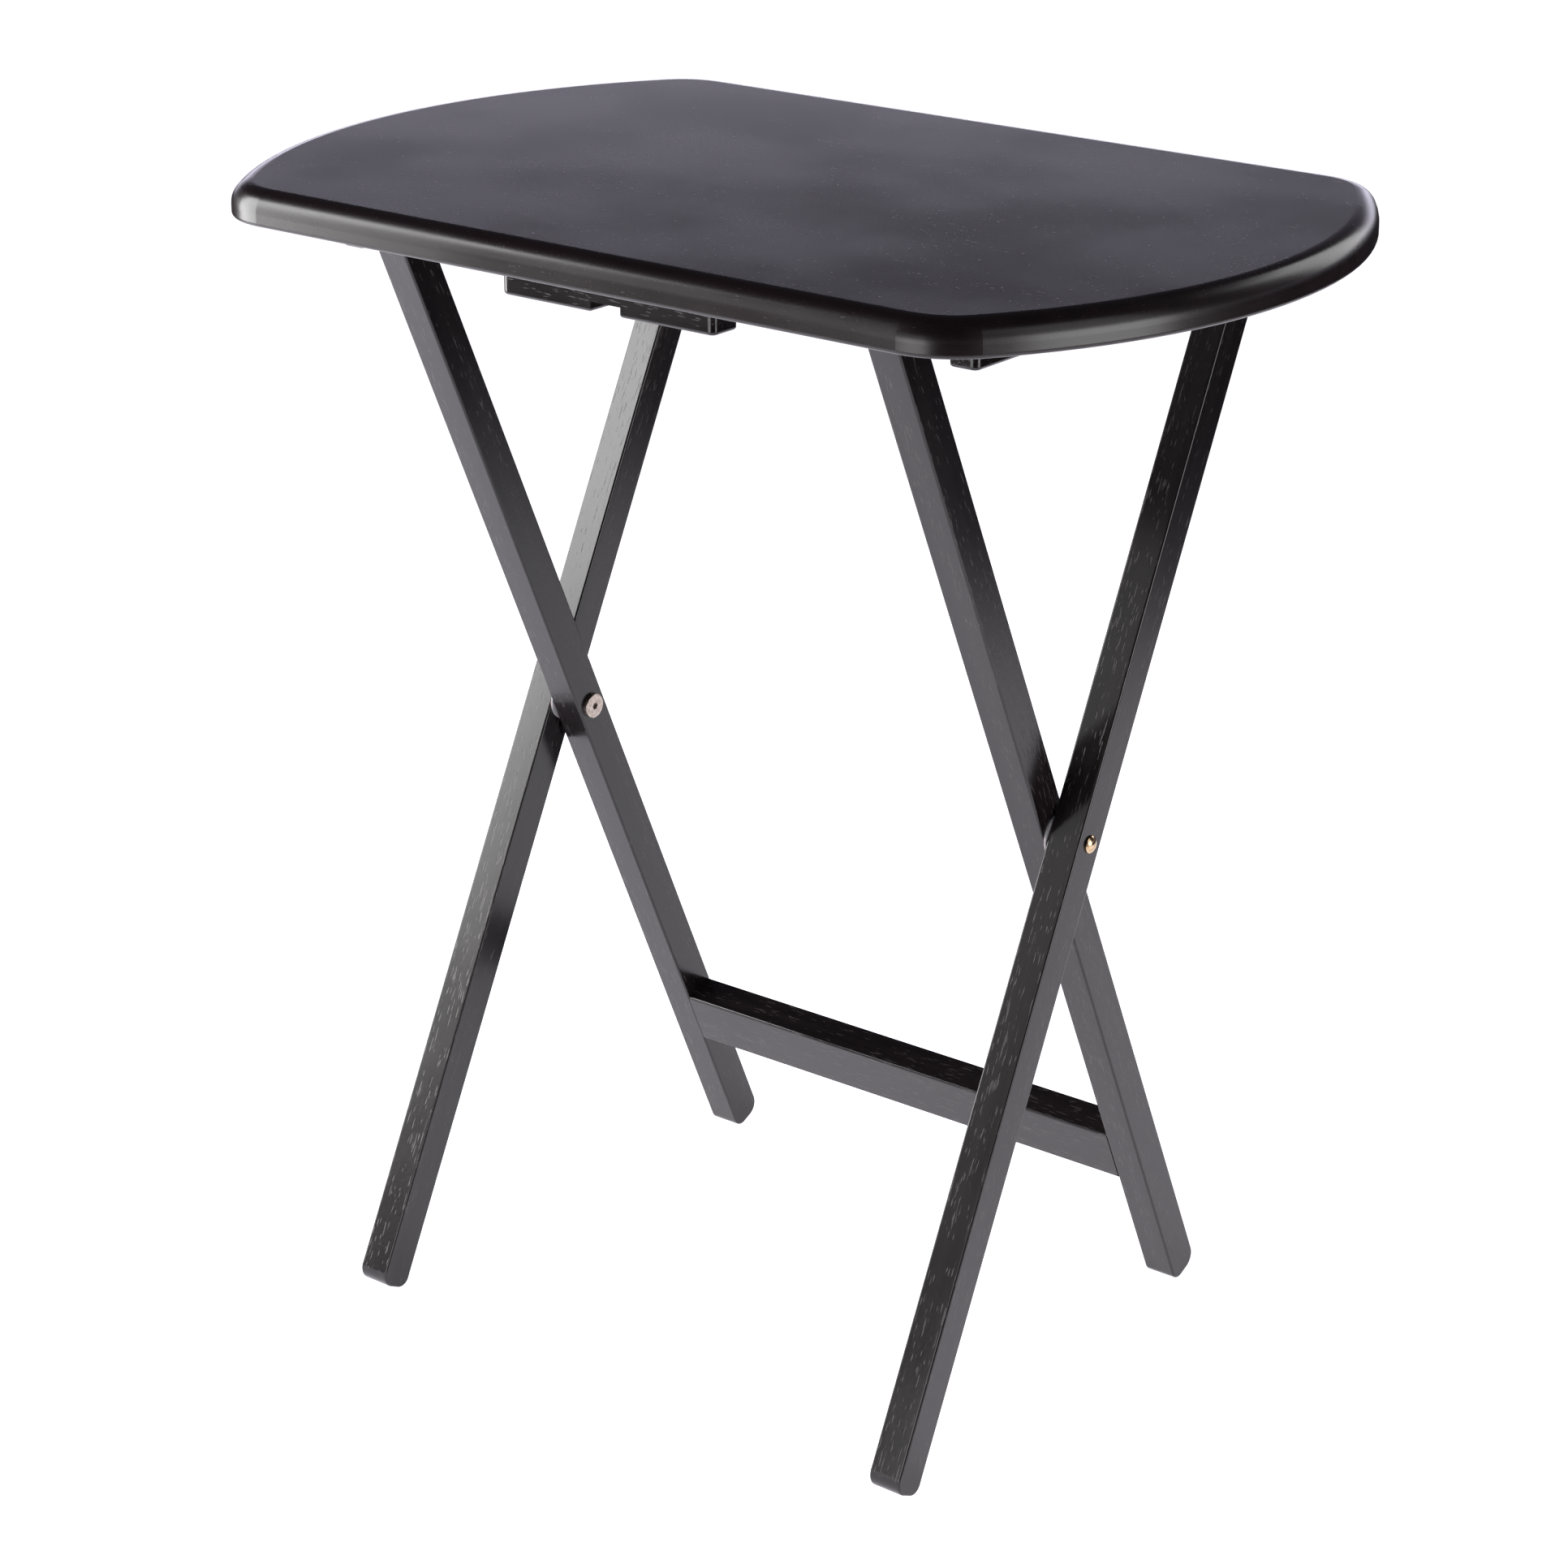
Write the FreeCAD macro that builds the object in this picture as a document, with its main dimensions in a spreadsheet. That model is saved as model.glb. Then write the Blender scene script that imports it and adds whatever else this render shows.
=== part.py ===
"""Folding tray table: an oval-ended wooden top on two pairs of crossed wooden legs.

Units are millimetres. X runs along the top's long side, Y from the front to the back and Z up.
The origin is on the floor, below the middle of the top.

The outer legs lean back as they rise and are hinged to two cleats under the back of the top.
The inner legs lean forward as they rise. A stretcher joins them near the feet. Their tips carry the front
of the top, and a cross dowel just below the tips bears on the back of a small block. A nut-and-screw
connector through each crossing lets the two frames scissor.
"""

import FreeCAD, Part
import math
import os

import Sketcher
from FreeCAD import Placement, Rotation, Vector

# ---------------------------------------------------------------- driving dimensions

DRIVING = [
    # the top
    ("overall_height", 660, "floor to the upper face of the top"),
    ("top_length", 618, "end to end, along X"),
    ("top_depth", 402, "front edge to back edge"),
    ("top_thick", 19, "board thickness"),
    ("end_radius", 310, "radius of the two bowed ends"),
    ("corner_radius", 46, "where a bowed end meets a straight edge"),
    ("upper_round", 12, "rounding of the upper rim"),
    ("lower_round", 2.5, "rounding of the lower rim"),
    # the legs
    ("leg_width", 21.6, "seen from the end of the table"),
    ("leg_thick", 20, "along X"),
    ("pivot_height", 325, "centre of the crossing above the floor"),
    ("inner_face", 175.5, "outward face of the inner legs, from the middle"),
    ("foot_round", 6.6, "corner of the foot that stands on the floor"),
    ("toe_round", 8.5, "the foot's other corner"),
    ("leg_edge", 1.2, "rounding of the long leg edges"),
    ("tip_round", 3, "corners of the inner legs' upper ends"),
    ("tip_gap", 0.3, "inner leg tips below the top"),
    # the lower stretcher and its pins
    ("stretcher_drop", 235, "pivot to the stretcher's upper edge, along the leg"),
    ("stretcher_height", 36, "along the leg"),
    ("stretcher_thick", 19.5, "across the leg"),
    ("stretcher_edge", 1.5, "rounding of its long edges"),
    ("pin_diameter", 8, "blind pins in the stretcher joints"),
    ("pin_bury", 12, "pin length in each piece"),
    ("pin_spacing", 18, "between the two pins of a joint"),
    # the cross dowel between the inner legs
    ("dowel_diameter", 15, "cross dowel"),
    ("dowel_inset", 63.6, "front edge of the top to the dowel's axis"),
    ("dowel_bury", 12, "dowel length in each leg"),
    ("dowel_cover", 4.7, "wood between the dowel and the leg's tip"),
    ("rest_gap", 0.3, "dowel to the block"),
    # the cleats under the top
    ("cleat_width", 16, "along X"),
    ("cleat_height", 22, "below the top"),
    ("cleat_inset", 65, "front edge of the top to the cleat's front end"),
    ("cleat_tail", 16, "hinge axis to the cleat's back end"),
    ("cleat_corner", 4, "upright outward corners of a cleat"),
    ("under_edge", 2, "lower edges of the cleats and of the block"),
    ("hinge_inset", 50.5, "back edge of the top to the hinge axis"),
    ("hinge_room", 1.4, "rounded end of the outer leg to the top"),
    # the front block
    ("block_length", 143, "along X"),
    ("block_depth", 18, "front to back"),
    ("block_height", 22, "below the top"),
    ("groove_width", 20, "hanging groove across the block"),
    ("groove_depth", 5.6, "hanging groove"),
    # nut-and-screw connectors
    ("barrel_diameter", 7, "sleeve of the nut"),
    ("barrel_clear", 0.07, "running clearance round the sleeve, on the radius"),
    ("thread_diameter", 4, "machine screw"),
    ("thread_clear", 0.03, "screw in its nut, on the radius"),
    ("dome_diameter", 9.8, "head of the nut"),
    ("dome_height", 2.8, "head of the nut"),
    ("dome_rim", 0.7, "straight rim below the dome"),
    ("disc_diameter", 14.6, "flat head of the pivot screw"),
    ("disc_thick", 2.4, "flat head of the pivot screw"),
    ("hinge_disc", 12, "flat head of the hinge screw"),
    ("hex_flats", 4, "hexagon socket across the flats"),
    ("hex_depth", 1.5, "hexagon socket"),
    ("pivot_grip", 10, "sleeve length inside the inner leg"),
    ("hinge_grip", 12, "sleeve length inside the outer leg"),
    ("sink_depth", 3.2, "recess for the hinge screw's head"),
    ("sink_clear", 0.4, "round that head, on the radius"),
    ("thread_bite", 7, "screw length inside the nut"),
    ("pivot_washer", 25, "outside diameter of the nylon washer"),
    ("pivot_pad", 1.2, "its thickness"),
    ("hinge_washer", 19, "outside diameter of the hinge washer"),
    ("hinge_pad", 1, "its thickness"),
    ("face_gap", 0.2, "running gap beside each washer and head"),
    # wood screws
    ("screw_shank", 4, "wood screw"),
    ("screw_head", 8, "countersunk head"),
    ("screw_cone", 2.4, "height of the head's cone"),
    ("screw_bite", 9.5, "screw length inside the top"),
    ("screw_clear", 0.05, "screw in its hole, on the radius"),
    ("cross_width", 1.1, "cross recess in the screw head"),
    ("cross_length", 4.6, "cross recess in the screw head"),
    ("cross_depth", 1.4, "cross recess in the screw head"),
    ("cleat_screw_inset", 24, "cleat's front end to its first screw"),
    ("hinge_screw_gap", 46, "last cleat screw to the hinge axis"),
    ("block_screw_pitch", 98, "between the block's two screws"),
]

# Values that follow from the driving ones. Each is a formula in the same sheet.
DERIVED = [
    ("under_side", "overall_height - top_thick"),
    ("end_centre", "top_length / 2 - end_radius"),
    ("corner_half", "end_centre + sqrt(end_radius ^ 2 - top_depth ^ 2 / 4)"),
    ("half_leg", "leg_width / 2"),
    # the cross dowel and the hinges, under the top, set how far each frame leans
    ("dowel_height", "under_side - tip_gap - dowel_cover - dowel_diameter / 2"),
    ("dowel_back", "dowel_inset - top_depth / 2"),
    ("dowel_reach", "sqrt(dowel_back ^ 2 + (dowel_height - pivot_height) ^ 2)"),
    ("hinge_drop", "half_leg + hinge_room"),
    ("hinge_height", "under_side - hinge_drop"),
    ("hinge_back", "top_depth / 2 - hinge_inset"),
    ("hinge_reach", "sqrt(hinge_back ^ 2 + (hinge_height - pivot_height) ^ 2)"),
    ("inner_sine", "-dowel_back / dowel_reach"),
    ("inner_cosine", "(dowel_height - pivot_height) / dowel_reach"),
    ("outer_sine", "hinge_back / hinge_reach"),
    ("outer_cosine", "(hinge_height - pivot_height) / hinge_reach"),
    ("lean_inner", "asin(inner_sine) / 1 deg"),
    ("lean_outer", "asin(outer_sine) / 1 deg"),
    # a leg is cut so that its rounded foot just touches the floor
    ("inner_foot", "(pivot_height - foot_round - (half_leg - foot_round) * inner_sine)"
                   " / inner_cosine + foot_round"),
    ("outer_foot", "(pivot_height - foot_round - (half_leg - foot_round) * outer_sine)"
                   " / outer_cosine + foot_round"),
    ("tip_reach", "(under_side - tip_gap - pivot_height) / inner_cosine"),
    ("tip_slope", "half_leg * inner_sine / inner_cosine"),
    ("inner_middle", "inner_face - leg_thick / 2"),
    ("inner_inside", "inner_face - leg_thick"),
    ("outer_inside", "inner_face + pivot_pad + face_gap"),
    ("outer_middle", "outer_inside + leg_thick / 2"),
    ("outer_face", "outer_inside + leg_thick"),
    ("cleat_inside", "outer_face + hinge_pad + face_gap"),
    ("cleat_middle", "cleat_inside + cleat_width / 2"),
    ("cleat_face", "cleat_inside + cleat_width"),
    ("block_middle", "dowel_back - dowel_diameter / 2 - rest_gap - block_depth / 2"),
    ("barrel_hole", "barrel_diameter + 2 * barrel_clear"),
    ("pivot_barrel", "leg_thick + pivot_pad + 2 * face_gap + pivot_grip"),
    ("hinge_barrel", "cleat_width + hinge_pad + face_gap + hinge_grip"),
    ("pivot_shank", "leg_thick - pivot_grip + thread_bite"),
    ("hinge_shank", "leg_thick - sink_depth - hinge_grip + thread_bite + face_gap"),
    ("thread_hole", "thread_diameter + 2 * thread_clear"),
    ("bore_depth", "thread_bite + 2"),
    ("pin_offset", "stretcher_thick / 2 - half_leg"),
    ("pin_drop", "stretcher_drop + stretcher_height / 2"),
    ("cleat_screw", "cleat_height + screw_bite"),
    ("block_screw", "block_height + screw_bite"),
    ("screw_hole", "screw_shank + 2 * screw_clear"),
    ("seat_cone", "screw_cone * (screw_head - screw_hole) / (screw_head - screw_shank)"),
    ("cleat_front", "cleat_inset - top_depth / 2"),
    ("cleat_back", "hinge_back + cleat_tail"),
    ("first_screw", "cleat_front + cleat_screw_inset"),
    ("screw_run", "hinge_back - hinge_screw_gap - first_screw"),
]

CLEAT_SCREWS = 3
BLOCK_SCREWS = 2

doc = FreeCAD.newDocument("tray_table")


def fill_sheet():
    """Puts every dimension in one sheet, with its name as alias and its note beside it."""
    sheet = doc.addObject("Spreadsheet::Sheet", "size")
    row = 0
    for name, value, note in DRIVING:
        row += 1
        sheet.set("A%d" % row, note)
        sheet.set("B%d" % row, str(value))
        sheet.setAlias("B%d" % row, name)
    for name, formula in DERIVED:
        row += 1
        sheet.set("A%d" % row, name.replace("_", " "))
        sheet.set("B%d" % row, "=" + formula)
        sheet.setAlias("B%d" % row, name)
    doc.recompute()
    return sheet


size = fill_sheet()


def value(expression):
    """The number that an expression on the sheet stands for."""
    result = size.evalExpression(expression)
    return float(getattr(result, "Value", result))


# ---------------------------------------------------------------- bodies and sketches


def new_body(label):
    body = doc.addObject("PartDesign::Body", label)
    body.Label = label
    body.AllowCompound = True
    return body


def origin_item(body, role):
    return next(item for item in body.Origin.OriginFeatures if item.Role == role)


def place(body, x="0", y="0", z="0", axis=None, angle=None):
    """Binds a body's placement to the sheet. The turn is about its own origin."""
    if axis is not None:
        body.Placement = Placement(Vector(), Rotation(axis, value(angle)))
        body.setExpression("Placement.Rotation.Angle", "(%s) * 1 deg" % angle)
    for key, expression in (("x", x), ("y", y), ("z", z)):
        body.setExpression("Placement.Base." + key, expression)


def new_sketch(body, plane, name, offset=None):
    """A sketch on one of the body's own origin planes, or on a parallel plane beside it."""
    sketch = body.newObject("Sketcher::SketchObject", name)
    sketch.AttachmentSupport = [(origin_item(body, plane + "_Plane"), "")]
    sketch.MapMode = "FlatFace"
    if offset is not None:
        sketch.AttachmentOffset = Placement(Vector(0, 0, value(offset)), Rotation())
        sketch.setExpression("AttachmentOffset.Base.z", offset)
    return sketch


def pin_coordinate(sketch, kind, element, point, expression):
    """Ties one coordinate of a sketch point to the sheet."""
    if expression == "0":
        axis = -1 if kind == "DistanceY" else -2
        sketch.addConstraint(Sketcher.Constraint("PointOnObject", element, point, axis))
        return
    size_now = value(expression)
    index = sketch.addConstraint(Sketcher.Constraint(kind, -1, 1, element, point, size_now))
    sketch.renameConstraint(index, "c%d" % index)
    sketch.setExpression("Constraints.c%d" % index, expression)


def pin_point(sketch, element, point, where):
    pin_coordinate(sketch, "DistanceX", element, point, where[0])
    pin_coordinate(sketch, "DistanceY", element, point, where[1])


def arc_centre(start, end, along, level):
    """Centre of an arc between two points, from one of the centre's own coordinates."""
    chord = end - start
    middle = (start + end) * 0.5
    if along == "x":
        return Vector(level, middle.y - (level - middle.x) * chord.x / chord.y, 0)
    return Vector(middle.x - (level - middle.y) * chord.y / chord.x, level, 0)


def arc_between(start, end, centre, turn):
    angle = [math.atan2(p.y - centre.y, p.x - centre.x) for p in (start, end)]
    if turn == "cw":
        angle.reverse()
    if angle[1] <= angle[0]:
        angle[1] += 2 * math.pi
    circle = Part.Circle(centre, Vector(0, 0, 1), (start - centre).Length)
    return Part.ArcOfCircle(circle, angle[0], angle[1])


def outline(sketch, points):
    """A closed outline. Each point is (x, y), or (x, y, (turn, coordinate, centre)) where an
    arc leads to it and one coordinate of that arc's centre is given. Expressions throughout."""
    corners = [Vector(value(p[0]), value(p[1]), 0) for p in points]
    ends = []
    first = sketch.GeometryCount
    for number, point in enumerate(points):
        start, end = corners[number - 1], corners[number]
        if len(point) == 2:
            sketch.addGeometry(Part.LineSegment(start, end), False)
            ends.append((1, 2))
        else:
            turn, along, level = point[2]
            centre = arc_centre(start, end, along, value(level))
            sketch.addGeometry(arc_between(start, end, centre, turn), False)
            ends.append((1, 2) if turn == "ccw" else (2, 1))
    for number, point in enumerate(points):
        here, after = first + number, first + (number + 1) % len(points)
        joint = (here, ends[number][1], after, ends[after - first][0])
        sketch.addConstraint(Sketcher.Constraint("Coincident", *joint))
        pin_point(sketch, here, ends[number][1], point)
        if len(point) == 3:
            kind = "DistanceX" if point[2][1] == "x" else "DistanceY"
            pin_coordinate(sketch, kind, here, 3, point[2][2])


def rectangle(sketch, low_x, low_y, high_x, high_y):
    outline(sketch, [(low_x, low_y), (high_x, low_y), (high_x, high_y), (low_x, high_y)])


def circle(sketch, diameter, x="0", y="0"):
    start = Part.Circle(Vector(value(x), value(y), 0), Vector(0, 0, 1), value(diameter) / 2)
    element = sketch.addGeometry(start, False)
    pin_point(sketch, element, 3, (x, y))
    index = sketch.addConstraint(Sketcher.Constraint("Diameter", element, value(diameter)))
    sketch.renameConstraint(index, "c%d" % index)
    sketch.setExpression("Constraints.c%d" % index, diameter)


# ---------------------------------------------------------------- features


def pad(body, sketch, length, both_ways=False):
    feature = body.newObject("PartDesign::Pad", "pad")
    feature.Profile = sketch
    feature.SideType = "Symmetric" if both_ways else "One side"
    feature.setExpression("Length", length)
    doc.recompute()
    return feature


def pocket(body, sketch, depth=None, reverse=False):
    """Cuts a sketch to a depth, or right through in both directions when no depth is given."""
    before = body.Shape.Volume
    feature = body.newObject("PartDesign::Pocket", "pocket")
    feature.Profile = sketch
    if depth is None:
        feature.Type = "ThroughAll"
        feature.SideType = "Symmetric"
    else:
        feature.Reversed = reverse
        feature.setExpression("Length", depth)
    doc.recompute()
    if body.Shape.Volume >= before - 1e-3:
        raise RuntimeError(body.Label + ": a pocket cuts nothing")
    return feature


def spin(body, sketch, axis):
    feature = body.newObject("PartDesign::Revolution", "revolution")
    feature.Profile = sketch
    feature.ReferenceAxis = (sketch, [axis])
    feature.Angle = 360
    doc.recompute()
    return feature


def repeat(body, originals, axis, length, count):
    feature = body.newObject("PartDesign::LinearPattern", "pattern")
    feature.Originals = originals
    feature.Direction = (origin_item(body, axis + "_Axis"), [""])
    feature.setExpression("Length", length)
    feature.Occurrences = count
    body.Tip = feature
    doc.recompute()
    return feature


def edge_names(body, wanted):
    """Names of the edges of the body's last shape that a test picks."""
    shape = body.Tip.Shape
    return ["Edge%d" % (i + 1) for i, edge in enumerate(shape.Edges) if wanted(edge)]


def soften(body, names, radius, kind="Fillet"):
    base = body.Tip
    feature = body.newObject("PartDesign::" + kind, kind.lower())
    feature.Base = (base, names)
    feature.setExpression("Radius" if kind == "Fillet" else "Size", radius)
    body.Tip = feature
    doc.recompute()
    return feature


def runs_along(edge, direction):
    """True for a straight edge parallel to a direction."""
    if not isinstance(edge.Curve, Part.Line):
        return False
    tangent = edge.tangentAt(edge.FirstParameter)
    return abs(abs(tangent.dot(direction)) - 1) < 1e-6


def passes(edge, **levels):
    """True when the middle of an edge has the given coordinates."""
    middle = edge.valueAt((edge.FirstParameter + edge.LastParameter) / 2)
    return all(abs(getattr(middle, key) - level) < 1e-3 for key, level in levels.items())


def lies_at(edge, key, level):
    """True when the whole edge lies in the plane where one coordinate has this value."""
    ends = [edge.valueAt(p) for p in (edge.FirstParameter, edge.LastParameter)]
    return passes(edge, **{key: level}) and all(abs(getattr(p, key) - level) < 1e-3 for p in ends)


X_WAY = Vector(1, 0, 0)
Y_WAY = Vector(0, 1, 0)
Z_WAY = Vector(0, 0, 1)
SIDES = (("left", -1), ("right", 1))


# ---------------------------------------------------------------- the top and what it carries


def screw_seats(body, hub, height, axis, spread, count):
    """Countersunk holes right through a piece, from its lower face, in one evenly spaced row."""
    before = body.Shape.Volume
    sketch = new_sketch(body, "XZ", "screw_seat", "-(%s)" % hub[1])
    outline(sketch, [
        (hub[0], "0"),
        ("%s + size.screw_head / 2" % hub[0], "0"),
        ("%s + size.screw_hole / 2" % hub[0], "size.seat_cone"),
        ("%s + size.screw_hole / 2" % hub[0], "2 * " + height),
        (hub[0], "2 * " + height),
    ])
    groove = body.newObject("PartDesign::Groove", "groove")
    groove.Profile = sketch
    groove.ReferenceAxis = (sketch, ["Edge1"])
    groove.Angle = 360
    doc.recompute()
    if body.Shape.Volume >= before - 1e-3:
        raise RuntimeError(body.Label + ": a screw seat cuts nothing")
    repeat(body, [groove], axis, spread, count)


def cleat_screw_rows():
    """Distances from the middle of the top to each cleat screw."""
    gaps = CLEAT_SCREWS - 1
    return ["(size.first_screw + size.screw_run * %d / %d)" % (n, gaps) for n in range(CLEAT_SCREWS)]


def block_screw_columns():
    return ["(size.block_screw_pitch * %s)" % share for share in ("-0.5", "0.5")]


def make_tabletop():
    body = new_body("tabletop")
    place(body, z="size.under_side")
    sketch = new_sketch(body, "XY", "outline")
    half = "size.top_depth / 2"
    outline(sketch, [
        ("-size.corner_half", "-" + half),
        ("size.corner_half", "-" + half),
        ("size.corner_half", half, ("ccw", "x", "size.end_centre")),
        ("-size.corner_half", half),
        ("-size.corner_half", "-" + half, ("ccw", "x", "-size.end_centre")),
    ][1:])
    pad(body, sketch, "size.top_thick")
    corners = edge_names(body, lambda edge: runs_along(edge, Z_WAY))
    soften(body, corners, "size.corner_radius")
    thick = value("size.top_thick")
    upper = edge_names(body, lambda edge: lies_at(edge, "z", thick))
    soften(body, upper, "size.upper_round")
    lower = edge_names(body, lambda edge: lies_at(edge, "z", 0))
    soften(body, lower, "size.lower_round")
    rows = cleat_screw_rows()
    centres = [(side + "size.cleat_middle", row) for side in ("-", "") for row in rows]
    centres += [(column, "size.block_middle") for column in block_screw_columns()]
    pilots = new_sketch(body, "XY", "pilot_holes")
    for x, y in centres:
        circle(pilots, "size.screw_hole", x, y)
    pocket(body, pilots, "size.screw_bite", reverse=True)
    return body


def make_cleat(side, sign):
    body = new_body("cleat_" + side)
    place(body, x="size.cleat_middle * %d" % sign, z="size.under_side - size.cleat_height")
    sketch = new_sketch(body, "XY", "outline")
    rectangle(sketch, "-size.cleat_width / 2", "size.cleat_front",
              "size.cleat_width / 2", "size.cleat_back")
    pad(body, sketch, "size.cleat_height")
    outward = value("size.cleat_width / 2") * sign
    upright = edge_names(body, lambda edge: runs_along(edge, Z_WAY) and passes(edge, x=outward))
    soften(body, upright, "size.cleat_corner")
    soften(body, edge_names(body, lambda edge: lies_at(edge, "z", 0)), "size.under_edge")
    hinge = new_sketch(body, "YZ", "hinge_hole")
    circle(hinge, "size.barrel_hole", "size.hinge_back", "size.cleat_height - size.hinge_drop")
    pocket(body, hinge)
    screw_seats(body, ("0", "size.first_screw"), "size.cleat_height", "Y",
                "size.screw_run", CLEAT_SCREWS)
    return body


def make_front_block():
    body = new_body("front_block")
    place(body, y="size.block_middle", z="size.under_side - size.block_height")
    sketch = new_sketch(body, "XY", "outline")
    rectangle(sketch, "-size.block_length / 2", "-size.block_depth / 2",
              "size.block_length / 2", "size.block_depth / 2")
    pad(body, sketch, "size.block_height")
    front = value("-size.block_depth / 2")
    upright = edge_names(body, lambda edge: runs_along(edge, Z_WAY) and passes(edge, y=front))
    soften(body, upright, "size.cleat_corner")
    groove = new_sketch(body, "XZ", "groove")
    rectangle(groove, "-size.groove_width / 2", "0", "size.groove_width / 2", "size.groove_depth")
    pocket(body, groove)
    soften(body, edge_names(body, lambda edge: lies_at(edge, "z", 0)), "size.under_edge")
    screw_seats(body, ("-size.block_screw_pitch / 2", "0"), "size.block_height", "X",
                "size.block_screw_pitch", BLOCK_SCREWS)
    return body


def make_wood_screws(label, x, y, z, length, axis, spread, count):
    """A row of countersunk screws, points up, heads level with the piece they hold."""
    body = new_body(label)
    place(body, x=x, y=y, z=z)
    profile = new_sketch(body, "XZ", "profile")
    outline(profile, [
        ("0", "0"),
        ("size.screw_head / 2", "0"),
        ("size.screw_shank / 2", "size.screw_cone"),
        ("size.screw_shank / 2", "%s - size.screw_shank" % length),
        ("0", "%s - 2 * size.screw_clear" % length),
    ])
    shaft = spin(body, profile, "V_Axis")
    cross = new_sketch(body, "XY", "cross")
    wide, long = "size.cross_width / 2", "size.cross_length / 2"
    outline(cross, [
        (wide, wide), (long, wide), (long, "-" + wide), (wide, "-" + wide),
        (wide, "-" + long), ("-" + wide, "-" + long), ("-" + wide, "-" + wide), ("-" + long, "-" + wide),
        ("-" + long, wide), ("-" + wide, wide), ("-" + wide, long), (wide, long),
    ])
    recess = pocket(body, cross, "size.cross_depth", reverse=True)
    repeat(body, [shaft, recess], axis, spread, count)
    return body


# ---------------------------------------------------------------- the legs


def foot_corners(body, foot, floor_side):
    """Rounds the two corners of a foot: one radius towards the floor, one away from it."""
    level, half = -value(foot), value("size.half_leg")
    for y, radius in ((floor_side * half, "size.foot_round"), (-floor_side * half, "size.toe_round")):
        corner = edge_names(body, lambda edge: runs_along(edge, X_WAY) and passes(edge, y=y, z=level))
        soften(body, corner, radius)


def ease_leg(body):
    """Takes the sharpness off the edges of both side faces."""
    side = value("size.leg_thick / 2")
    rim = edge_names(body, lambda edge: lies_at(edge, "x", side) or lies_at(edge, "x", -side))
    soften(body, rim, "size.leg_edge")


def bore_from_inside(body, name, sign, depth, holes):
    """Blind holes into the leg face that looks towards the middle of the table."""
    sketch = new_sketch(body, "YZ", name, "size.leg_thick / 2 * %d" % -sign)
    for diameter, y, z in holes:
        circle(sketch, diameter, y, z)
    pocket(body, sketch, depth, reverse=sign > 0)


def place_in_frame(body, x, frame):
    """Stands a piece modelled along Z, with the pivot at its origin, at its frame's lean."""
    lean = {"inner": "size.lean_inner", "outer": "-size.lean_outer"}[frame]
    place(body, x=x, z="size.pivot_height", axis=X_WAY, angle=lean)


def pin_holes():
    places = ["-size.pin_drop %s size.pin_spacing / 2" % way for way in ("+", "-")]
    return [("size.pin_diameter", "size.pin_offset", place_z) for place_z in places]


def make_inner_leg(side, sign):
    body = new_body("inner_leg_" + side)
    place_in_frame(body, "size.inner_middle * %d" % sign, "inner")
    sketch = new_sketch(body, "YZ", "outline")
    outline(sketch, [
        ("-size.half_leg", "-size.inner_foot"),
        ("size.half_leg", "-size.inner_foot"),
        ("size.half_leg", "size.tip_reach - size.tip_slope"),
        ("-size.half_leg", "size.tip_reach + size.tip_slope"),
    ])
    pad(body, sketch, "size.leg_thick", both_ways=True)
    foot_corners(body, "size.inner_foot", -1)
    tips = edge_names(body, lambda edge: runs_along(edge, X_WAY) and edge.CenterOfMass.z > 0)
    soften(body, tips, "size.tip_round")
    ease_leg(body)
    pivot = new_sketch(body, "YZ", "pivot_hole")
    circle(pivot, "size.barrel_hole")
    pocket(body, pivot)
    bore_from_inside(body, "dowel_socket", sign, "size.dowel_bury",
                     [("size.dowel_diameter", "0", "size.dowel_reach")])
    bore_from_inside(body, "pin_sockets", sign, "size.pin_bury", pin_holes())
    return body


def make_outer_leg(side, sign):
    body = new_body("outer_leg_" + side)
    place_in_frame(body, "size.outer_middle * %d" % sign, "outer")
    sketch = new_sketch(body, "YZ", "outline")
    outline(sketch, [
        ("-size.half_leg", "-size.outer_foot"),
        ("size.half_leg", "-size.outer_foot"),
        ("size.half_leg", "size.hinge_reach"),
        ("-size.half_leg", "size.hinge_reach", ("ccw", "y", "size.hinge_reach")),
    ])
    pad(body, sketch, "size.leg_thick", both_ways=True)
    foot_corners(body, "size.outer_foot", 1)
    ease_leg(body)
    holes = new_sketch(body, "YZ", "pivot_and_hinge_holes")
    circle(holes, "size.barrel_hole")
    circle(holes, "size.barrel_hole", "0", "size.hinge_reach")
    pocket(body, holes)
    bore_from_inside(body, "screw_head_recess", sign, "size.sink_depth",
                     [("size.hinge_disc + 2 * size.sink_clear", "0", "size.hinge_reach")])
    return body


def make_stretcher():
    body = new_body("lower_stretcher")
    place_in_frame(body, "0", "inner")
    sketch = new_sketch(body, "YZ", "outline")
    rectangle(sketch, "-size.half_leg", "-size.stretcher_drop - size.stretcher_height",
              "size.stretcher_thick - size.half_leg", "-size.stretcher_drop")
    pad(body, sketch, "2 * size.inner_inside", both_ways=True)
    soften(body, edge_names(body, lambda edge: runs_along(edge, X_WAY)), "size.stretcher_edge")
    for sign in (-1, 1):
        sockets = new_sketch(body, "YZ", "pin_sockets", "size.inner_inside * %d" % sign)
        for diameter, y, z in pin_holes():
            circle(sockets, diameter, y, z)
        pocket(body, sockets, "size.pin_bury", reverse=sign < 0)
    return body


def make_stretcher_pins(side, sign):
    body = new_body("stretcher_pins_" + side)
    place_in_frame(body, "size.inner_inside * %d" % sign, "inner")
    sketch = new_sketch(body, "YZ", "outline")
    circle(sketch, "size.pin_diameter - 2 * size.screw_clear",
           "size.pin_offset", "-size.pin_drop - size.pin_spacing / 2")
    first = pad(body, sketch, "2 * size.pin_bury", both_ways=True)
    repeat(body, [first], "Z", "size.pin_spacing", 2)
    return body


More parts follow.
